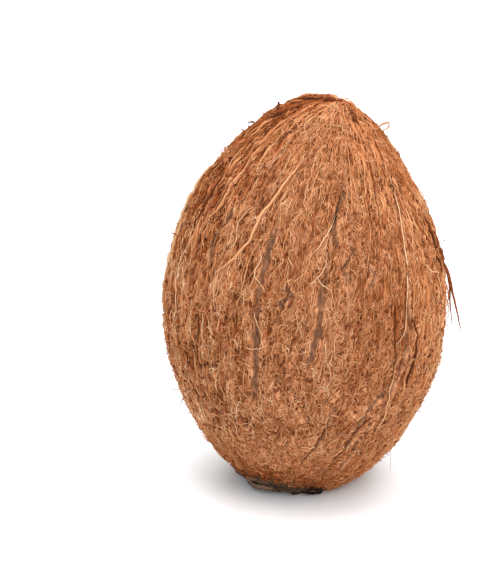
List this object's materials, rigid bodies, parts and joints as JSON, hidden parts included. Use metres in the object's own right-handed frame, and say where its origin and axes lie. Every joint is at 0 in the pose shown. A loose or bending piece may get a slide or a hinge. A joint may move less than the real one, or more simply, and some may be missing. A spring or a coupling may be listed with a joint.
{
  "type": "husked coconut",
  "caption": "Ripe brown coconut with its coarse fibre coat, pointed at the top and standing on a small flat at its blunt end.",
  "frame": {"origin": "on the ground plane, under the middle of the nut's bounding box, inside its flat foot", "axes": "+Z from the blunt foot up to the pointed tip; +X the way the tip leans; -Y the side that faces the viewer"},
  "size_m": [0.1002, 0.1, 0.144],
  "materials": {
    "coir": "matte matted coir fibre, warm tan over red-brown"
  },
  "bodies": {
    "root": {"coconut": "coir"}
  },
  "joints": []
}
